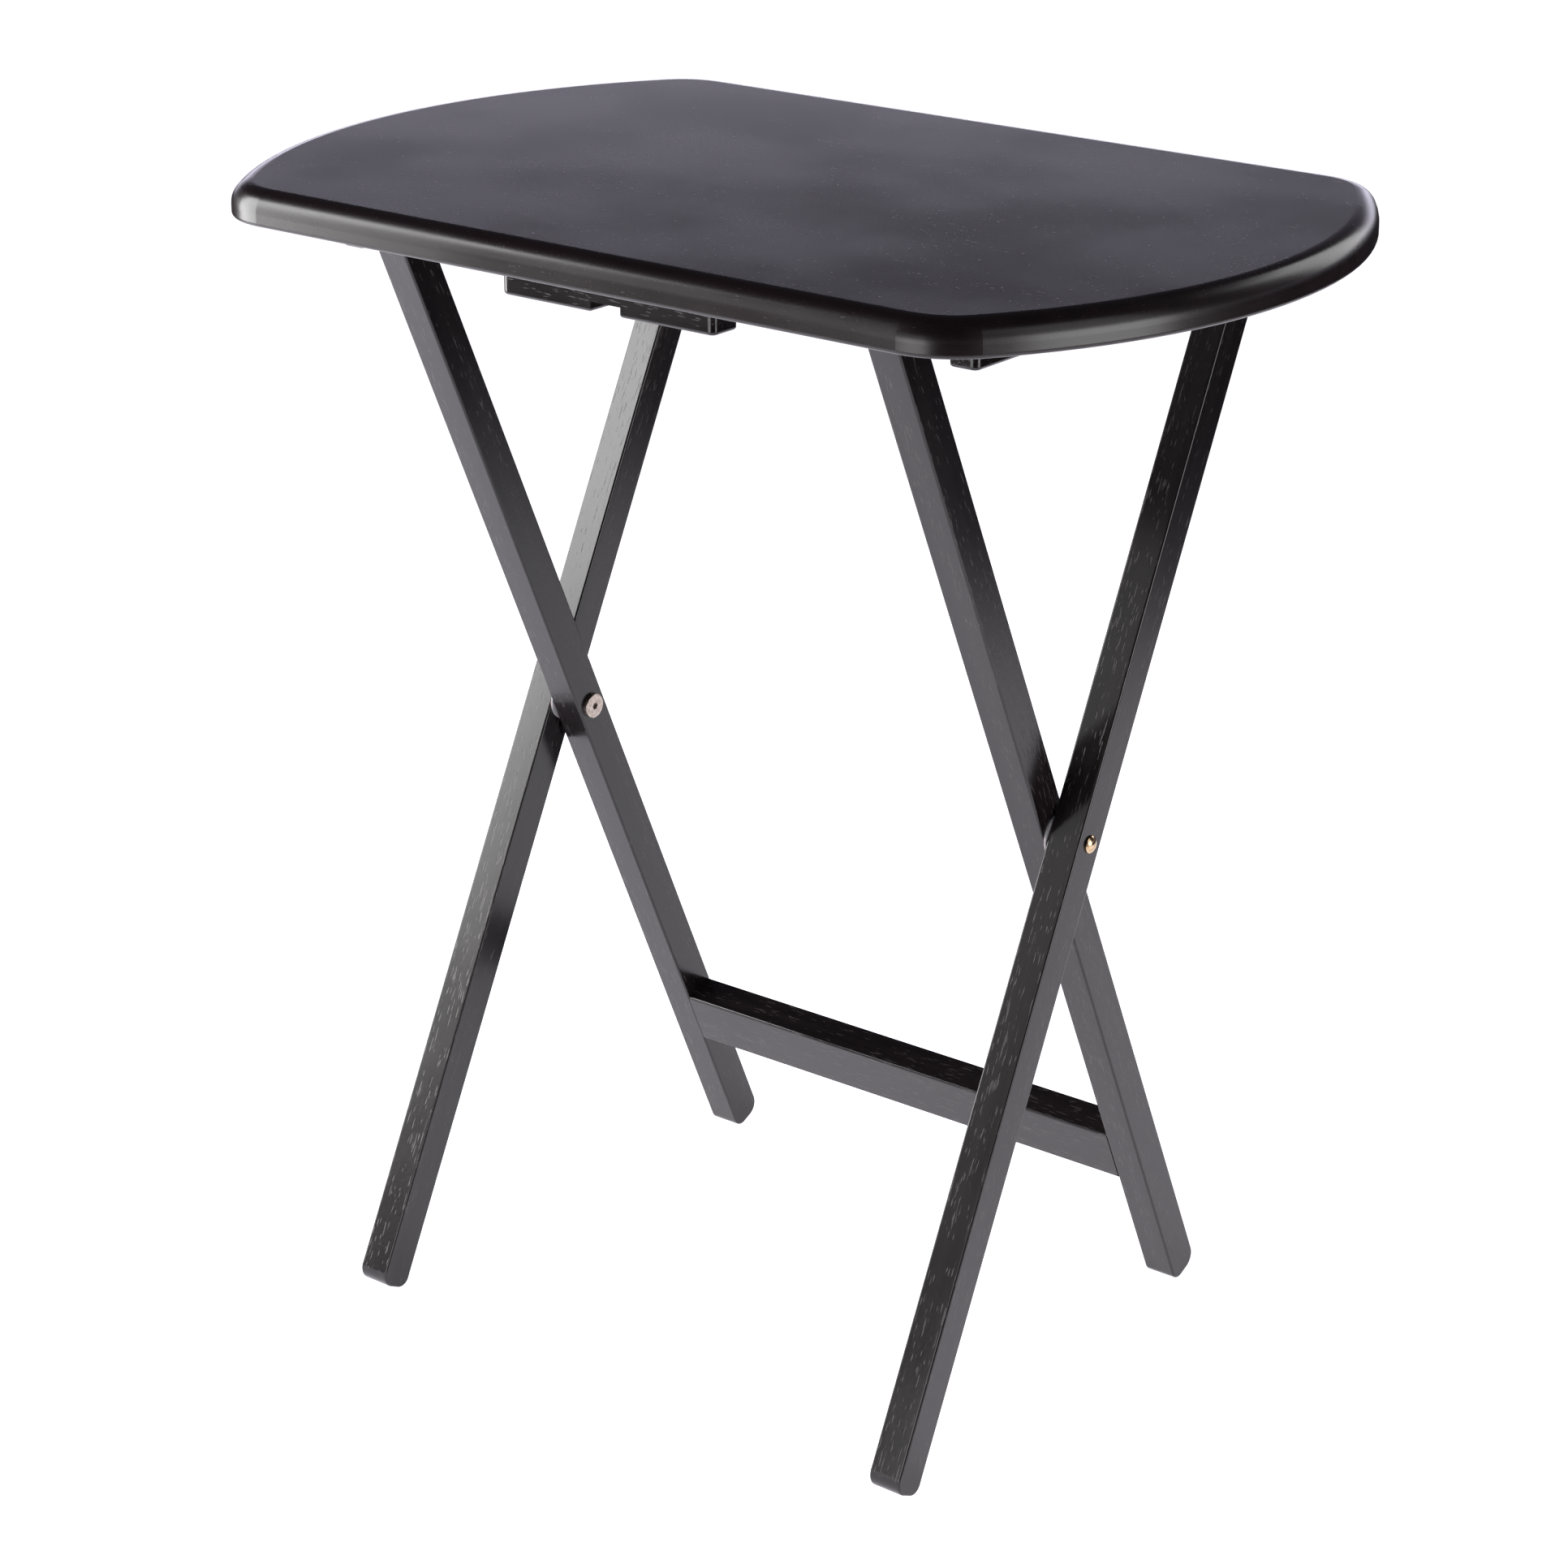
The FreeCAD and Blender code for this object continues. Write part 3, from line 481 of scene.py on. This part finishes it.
def build_turning_group():
    group, takes, gives = new_group(
        "turning marks",
        [("Place", "NodeSocketVector", None), ("Axis", "NodeSocketVector", None),
         ("Ring Width", "NodeSocketFloat", 0.00012)],
        ["Rings", "Smudges"],
    )
    away = add(group, "ShaderNodeVectorMath", {"operation": "SUBTRACT"})
    set_input(group, away.inputs[0], takes["Place"])
    set_input(group, away.inputs[1], takes["Axis"])
    parts = add(group, "ShaderNodeSeparateXYZ", Vector=away.outputs[0])
    sides = (parts.outputs["Y"], parts.outputs["Z"])
    squares = [calc(group, "MULTIPLY", side, side) for side in sides]
    radius = calc(group, "SQRT", calc(group, "ADD", *squares))
    rings = add(group, "ShaderNodeTexNoise", {"noise_dimensions": "1D"},
                W=calc(group, "DIVIDE", radius, takes["Ring Width"]), Scale=1.0, Detail=2.0)
    smudges = add(group, "ShaderNodeTexNoise", Vector=takes["Place"],
                  Scale=SMUDGES_PER_METRE, Detail=3.0)
    set_input(group, gives["Rings"], rings.outputs[0])
    set_input(group, gives["Smudges"], rescale(group, smudges.outputs[0], 0.35, 0.65))
    return group


turning_group = build_turning_group()

# %% [markdown]
# ## Brass plate and steel
#
# The sleeve nuts with domed heads are brass plated and buffed. The screws that go into them have a
# flat head with a hexagon socket, in a paler plate that leans a little to pink. A plated surface
# is a metal all over: what changes is how smooth it is, and how far it has tarnished.

# %% Finish the connectors
METAL_EDGE_REACH = 0.0003
TARNISH_TINT = 0.7
TARNISH_DULLS = 0.12
RING_HEIGHT = 0.000003


def turned_metal(name, bright, tarnished, smooth, axis_of):
    material, tree, shader = new_material(name)
    low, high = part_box(axis_of)
    middle = (low + high) / 2
    own = add(tree, "ShaderNodeTexCoord").outputs["Object"]
    marks = use_group(tree, turning_group, Place=own, Axis=(0.0, middle.y, middle.z))
    edges = use_group(tree, edge_group, Place=own, Reach=METAL_EDGE_REACH)
    film = calc(tree, "MULTIPLY", marks["Smudges"], calc(tree, "SUBTRACT", 1.0, edges["Worn"]))
    tarnish = calc(tree, "MULTIPLY", film, TARNISH_TINT)
    set_input(tree, shader.inputs["Base Color"], mix_colours(tree, tarnish, bright, tarnished))
    rough = rescale(tree, film, 0.0, 1.0, smooth, smooth + TARNISH_DULLS)
    set_input(tree, shader.inputs["Roughness"], rough)
    bump = add(tree, "ShaderNodeBump", Strength=1.0, Distance=1.0,
               Height=calc(tree, "MULTIPLY", marks["Rings"], RING_HEIGHT))
    set_input(tree, shader.inputs["Normal"], bump.outputs[0])
    shader.inputs["Metallic"].default_value = 1.0
    return material


# The bright tone, the tarnished tone, and the roughness where it is bright.
BRASS = ((0.68, 0.51, 0.33, 1), (0.46, 0.31, 0.17, 1), 0.14)
PALE_STEEL = ((0.50, 0.43, 0.38, 1), (0.38, 0.32, 0.28, 1), 0.24)
for joint in ("pivot", "hinge"):
    pair = [f"{joint}_nut_left", f"{joint}_nut_right"]
    finish(turned_metal(f"brass of the {joint}", *BRASS, axis_of=pair[0]), *pair)
    pair = [f"{joint}_screw_left", f"{joint}_screw_right"]
    finish(turned_metal(f"pale steel of the {joint}", *PALE_STEEL, axis_of=pair[0]), *pair)

# %% [markdown]
# ## Blackened wood screws
#
# The screws that hold the cleats and the block are blackened in a hot oxide bath. The black is so
# thin that the driver soon rubs the recess back to bright steel, which the edge group does here.

# %% Finish the wood screws
OXIDE = ((0.018, 0.018, 0.02, 1), (0.045, 0.042, 0.042, 1))
RUBBED_STEEL = (0.45, 0.43, 0.41, 1)
OXIDE_ROUGH = (0.38, 0.52)
OXIDE_GRAIN = 0.0004
OXIDE_RELIEF = 0.00001
SCREW_EDGE_REACH = 0.00035


def black_oxide(name):
    material, tree, shader = new_material(name)
    own = add(tree, "ShaderNodeTexCoord").outputs["Object"]
    edges = use_group(tree, edge_group, Place=own, Reach=SCREW_EDGE_REACH)
    skin = use_group(tree, lacquer_group, Place=own, Ripple_Size=OXIDE_GRAIN)
    dark = mix_colours(tree, skin["Ripples"], *OXIDE)
    rubbed = mix_colours(tree, edges["Worn"], dark, RUBBED_STEEL)
    set_input(tree, shader.inputs["Base Color"], rubbed)
    rough = rescale(tree, skin["Ripples"], 0.3, 0.7, *OXIDE_ROUGH)
    set_input(tree, shader.inputs["Roughness"], rough)
    bump = add(tree, "ShaderNodeBump", Strength=1.0, Distance=1.0,
               Height=calc(tree, "MULTIPLY", skin["Ripples"], OXIDE_RELIEF))
    set_input(tree, shader.inputs["Normal"], bump.outputs[0])
    shader.inputs["Metallic"].default_value = 1.0
    return material


finish(black_oxide("black oxide"), "block_screws", "cleat_screws_left", "cleat_screws_right")

# %% [markdown]
# ## Nylon washers
#
# A washer between two legs lets them turn without rubbing their lacquer off. Moulded nylon is a
# milky grey: light goes a little way in and comes out again, so a share of subsurface light looks
# softer than a plain grey. Its faces have the fine spark-eroded texture of the mould.

# %% Finish the washers
NYLON = ((0.27, 0.27, 0.28, 1), (0.34, 0.34, 0.35, 1))
NYLON_ROUGH = (0.36, 0.5)
NYLON_GRAIN = 0.0003
NYLON_RELIEF = 0.00001
NYLON_MILK = 0.25
NYLON_MILK_DEPTH = 0.0015


def milky_nylon(name):
    material, tree, shader = new_material(name)
    own = add(tree, "ShaderNodeTexCoord").outputs["Object"]
    skin = use_group(tree, lacquer_group, Place=own, Ripple_Size=NYLON_GRAIN)
    set_input(tree, shader.inputs["Base Color"], mix_colours(tree, skin["Clouds"], *NYLON))
    rough = rescale(tree, skin["Ripples"], 0.3, 0.7, *NYLON_ROUGH)
    set_input(tree, shader.inputs["Roughness"], rough)
    bump = add(tree, "ShaderNodeBump", Strength=1.0, Distance=1.0,
               Height=calc(tree, "MULTIPLY", skin["Ripples"], NYLON_RELIEF))
    set_input(tree, shader.inputs["Normal"], bump.outputs[0])
    shader.inputs["Subsurface Weight"].default_value = NYLON_MILK
    shader.inputs["Subsurface Scale"].default_value = NYLON_MILK_DEPTH
    return material


finish(milky_nylon("milky nylon"), "pivot_washer_left", "pivot_washer_right",
       "hinge_washer_left", "hinge_washer_right")

# %% [markdown]
# ## The floor
#
# The table stands on a plain pale floor, far wider than the view, so that no edge of it shows. A
# single face does for that. Round the table the floor is pale and glows, and between 1.1 and 1.75 m
# out its colour turns dark. This is a painted pool of light: a pale glow near the table, with
# painted shade beyond it, for studio light that fades away from the table. The painted glow is what
# shines in the legs, and the painted shade leaves their upper ends dark. Looked at directly, as a
# bright exposure washes both out to an even white, the floor glows more. From below it lets the
# view through, so that the underside of the table can be looked at.

# %% Lay the floor
FLOOR_WIDTH = 60.0
# The next five numbers paint a pool of light on the floor: a pale glowing tone near the table, and
# painted shade beyond it.
POOL_TONE = (0.87, 0.85, 0.95, 1)
PAINTED_SHADE_TONE = (0.09, 0.09, 0.10, 1)
POOL_FADES_FROM = 1.10
POOL_FADES_BY = 1.75
PAINTED_POOL_GLOW = 0.85
DIRECT_GLOW = 1.08
GLOW_TONE = (0.98, 0.96, 1.0, 1)
FLOOR_SPECKS_PER_METRE = 350.0
FLOOR_ROUGH = (0.75, 0.85)
FLOOR_SHINE = 0.1


def lay_floor():
    shape = bmesh.new()
    half = FLOOR_WIDTH / 2
    corners = [shape.verts.new((x, y, table_low.z)) for x, y in
               ((-half, -half), (half, -half), (half, half), (-half, half))]
    shape.faces.new(corners)
    mesh = bpy.data.meshes.new("floor")
    shape.to_mesh(mesh)
    shape.free()
    floor = bpy.data.objects.new("floor", mesh)
    bpy.context.scene.collection.objects.link(floor)
    material, tree, shader = new_material("pale floor")
    own = add(tree, "ShaderNodeTexCoord").outputs["Object"]
    specks = add(tree, "ShaderNodeTexNoise", Vector=own,
                 Scale=FLOOR_SPECKS_PER_METRE, Detail=2.0).outputs[0]
    away = add(tree, "ShaderNodeVectorMath", {"operation": "LENGTH"})
    tree.links.new(own, away.inputs[0])
    # The mask of painted shade: 0 inside the painted pool of light, 1 beyond it.
    bare = rescale(tree, away.outputs["Value"], POOL_FADES_FROM, POOL_FADES_BY)
    set_input(tree, shader.inputs["Base Color"], mix_colours(tree, bare, POOL_TONE, PAINTED_SHADE_TONE))
    set_input(tree, shader.inputs["Roughness"], rescale(tree, specks, 0.3, 0.7, *FLOOR_ROUGH))
    shader.inputs["Specular IOR Level"].default_value = FLOOR_SHINE
    seen = add(tree, "ShaderNodeLightPath").outputs["Is Camera Ray"]
    # The painted pool of light: the floor glows where it is not in painted shade.
    pool_glow = calc(tree, "MULTIPLY", calc(tree, "SUBTRACT", 1.0, bare), PAINTED_POOL_GLOW)
    shader.inputs["Emission Color"].default_value = GLOW_TONE
    glow = calc(tree, "MAXIMUM", calc(tree, "MULTIPLY", seen, DIRECT_GLOW), pool_glow)
    set_input(tree, shader.inputs["Emission Strength"], glow)
    clear = add(tree, "ShaderNodeBsdfTransparent")
    side = add(tree, "ShaderNodeNewGeometry")
    either = add(tree, "ShaderNodeMixShader")
    tree.links.new(side.outputs["Backfacing"], either.inputs[0])
    tree.links.new(shader.outputs[0], either.inputs[1])
    tree.links.new(clear.outputs[0], either.inputs[2])
    tree.links.new(either.outputs[0], tree.nodes["Material Output"].inputs["Surface"])
    mesh.materials.append(material)
    return floor


floor = lay_floor()
print("floor at", round(table_low.z, 4), "m")

# %% [markdown]
# ## The light
#
# Dark lacquer shows its shape by what it mirrors, so the lights are soft panels, placed for the
# reflections they leave. A tall one stands in front on the left, for the band along the front rim
# and the pale face of the far leg. A low one stands straight in front, for the legs, and a dim card
# between the two keeps the near leg from going black. A low one on the right and a high one behind
# draw the bowed end. Over each of the two low panels stands a dim one, which carries the reflection
# up the rim: were it as bright as the low one, the flat top would turn white for someone who looks
# at the table from behind or from the left.
#
# A panel is set by how bright it looks rather than by its watts, because brightness is what a
# reflection shows. A flat panel's power is its brightness times its area times pi.

# %% Stand the panels
def light_panel(name, place, aim, width, height, brightness):
    """A soft panel at place that faces aim, both given from the middle of the table's footprint."""
    data = bpy.data.lights.new(name, "AREA")
    data.shape = "RECTANGLE"
    data.size, data.size_y = width, height
    data.energy = brightness * width * height * math.pi
    panel = bpy.data.objects.new(name, data)
    bpy.context.scene.collection.objects.link(panel)
    foot = Vector((table_middle.x, table_middle.y, table_low.z))
    panel.location = foot + Vector(place)
    away = Vector(place) - Vector(aim)
    panel.rotation_euler = away.to_track_quat("Z", "Y").to_euler()
    panel.visible_camera = False
    print(name, "at", [round(part, 2) for part in panel.location], round(data.energy), "W")
    return panel


light_panel("left panel", place=(-1.50, -0.795, 0.91), aim=(-0.12, 0.68, 0.91),
            width=0.95, height=1.72, brightness=10.0)
light_panel("low front panel", place=(-0.21, -1.94, 0.39), aim=(-0.21, 0.0, 0.39),
            width=1.23, height=0.72, brightness=4.4)
light_panel("upper front panel", place=(-0.21, -1.94, 1.07), aim=(-0.21, 0.0, 1.07),
            width=1.23, height=0.64, brightness=0.8)
light_panel("dim card", place=(-0.92, -1.44, 1.05), aim=(0.10, 0.0, 1.05),
            width=0.35, height=0.8, brightness=1.1)
light_panel("low right panel", place=(2.0, 0.07, 0.53), aim=(0.0, 0.07, 0.53),
            width=1.05, height=0.96, brightness=5.0)
light_panel("upper right panel", place=(2.0, 0.07, 1.73), aim=(0.0, 0.07, 1.73),
            width=1.05, height=1.44, brightness=1.0)
light_panel("back right panel", place=(0.57, 2.12, 1.55), aim=(0.0, 0.0, 1.55),
            width=1.1, height=1.4, brightness=2.4)

# %% [markdown]
# ## The room round the table
#
# The flat top mirrors whatever stands low behind the table. A real studio has a pale wall there
# that fades into the dark of the room above it. The world does the same: pale near the horizon and
# dim above, with nothing in it that has an edge.

# %% Light the room
ROOM_TONE = (0.86, 0.83, 1.0, 1)
ROOM_BRIGHTNESS = 0.05
WALL_TOWARDS = Vector((-0.617, 0.787, 0.0))
WALL_BRIGHTNESS = 2.6
SIDE_WALL_BRIGHTNESS = 0.25
WALL_SIDE_BELOW, WALL_FULL_ABOVE = 0.80, 0.95  # the cosine of the turn away from the wall's middle
WALL_FADES_FROM = math.sin(math.radians(5))
WALL_FADES_TO = math.sin(math.radians(11))


def light_room():
    world = bpy.data.worlds.new("room")
    world.use_nodes = True
    tree = world.node_tree
    looking = add(tree, "ShaderNodeTexCoord").outputs["Generated"]
    rise = add(tree, "ShaderNodeSeparateXYZ", Vector=looking).outputs["Z"]
    facing = add(tree, "ShaderNodeVectorMath", {"operation": "DOT_PRODUCT"})
    tree.links.new(looking, facing.inputs[0])
    facing.inputs[1].default_value = WALL_TOWARDS
    wall = rescale(tree, facing.outputs["Value"], WALL_SIDE_BELOW, WALL_FULL_ABOVE,
                   SIDE_WALL_BRIGHTNESS, WALL_BRIGHTNESS)
    low = rescale(tree, rise, WALL_FADES_FROM, WALL_FADES_TO, 1.0, 0.0)
    glow = calc(tree, "ADD", calc(tree, "MULTIPLY", wall, low), ROOM_BRIGHTNESS)
    background = tree.nodes["Background"]
    background.inputs["Color"].default_value = ROOM_TONE
    tree.links.new(glow, background.inputs["Strength"])
    bpy.context.scene.world = world
    print("room is", ROOM_BRIGHTNESS, "and the wall behind", WALL_BRIGHTNESS)


light_room()
bpy.context.scene.view_settings.view_transform = "Standard"
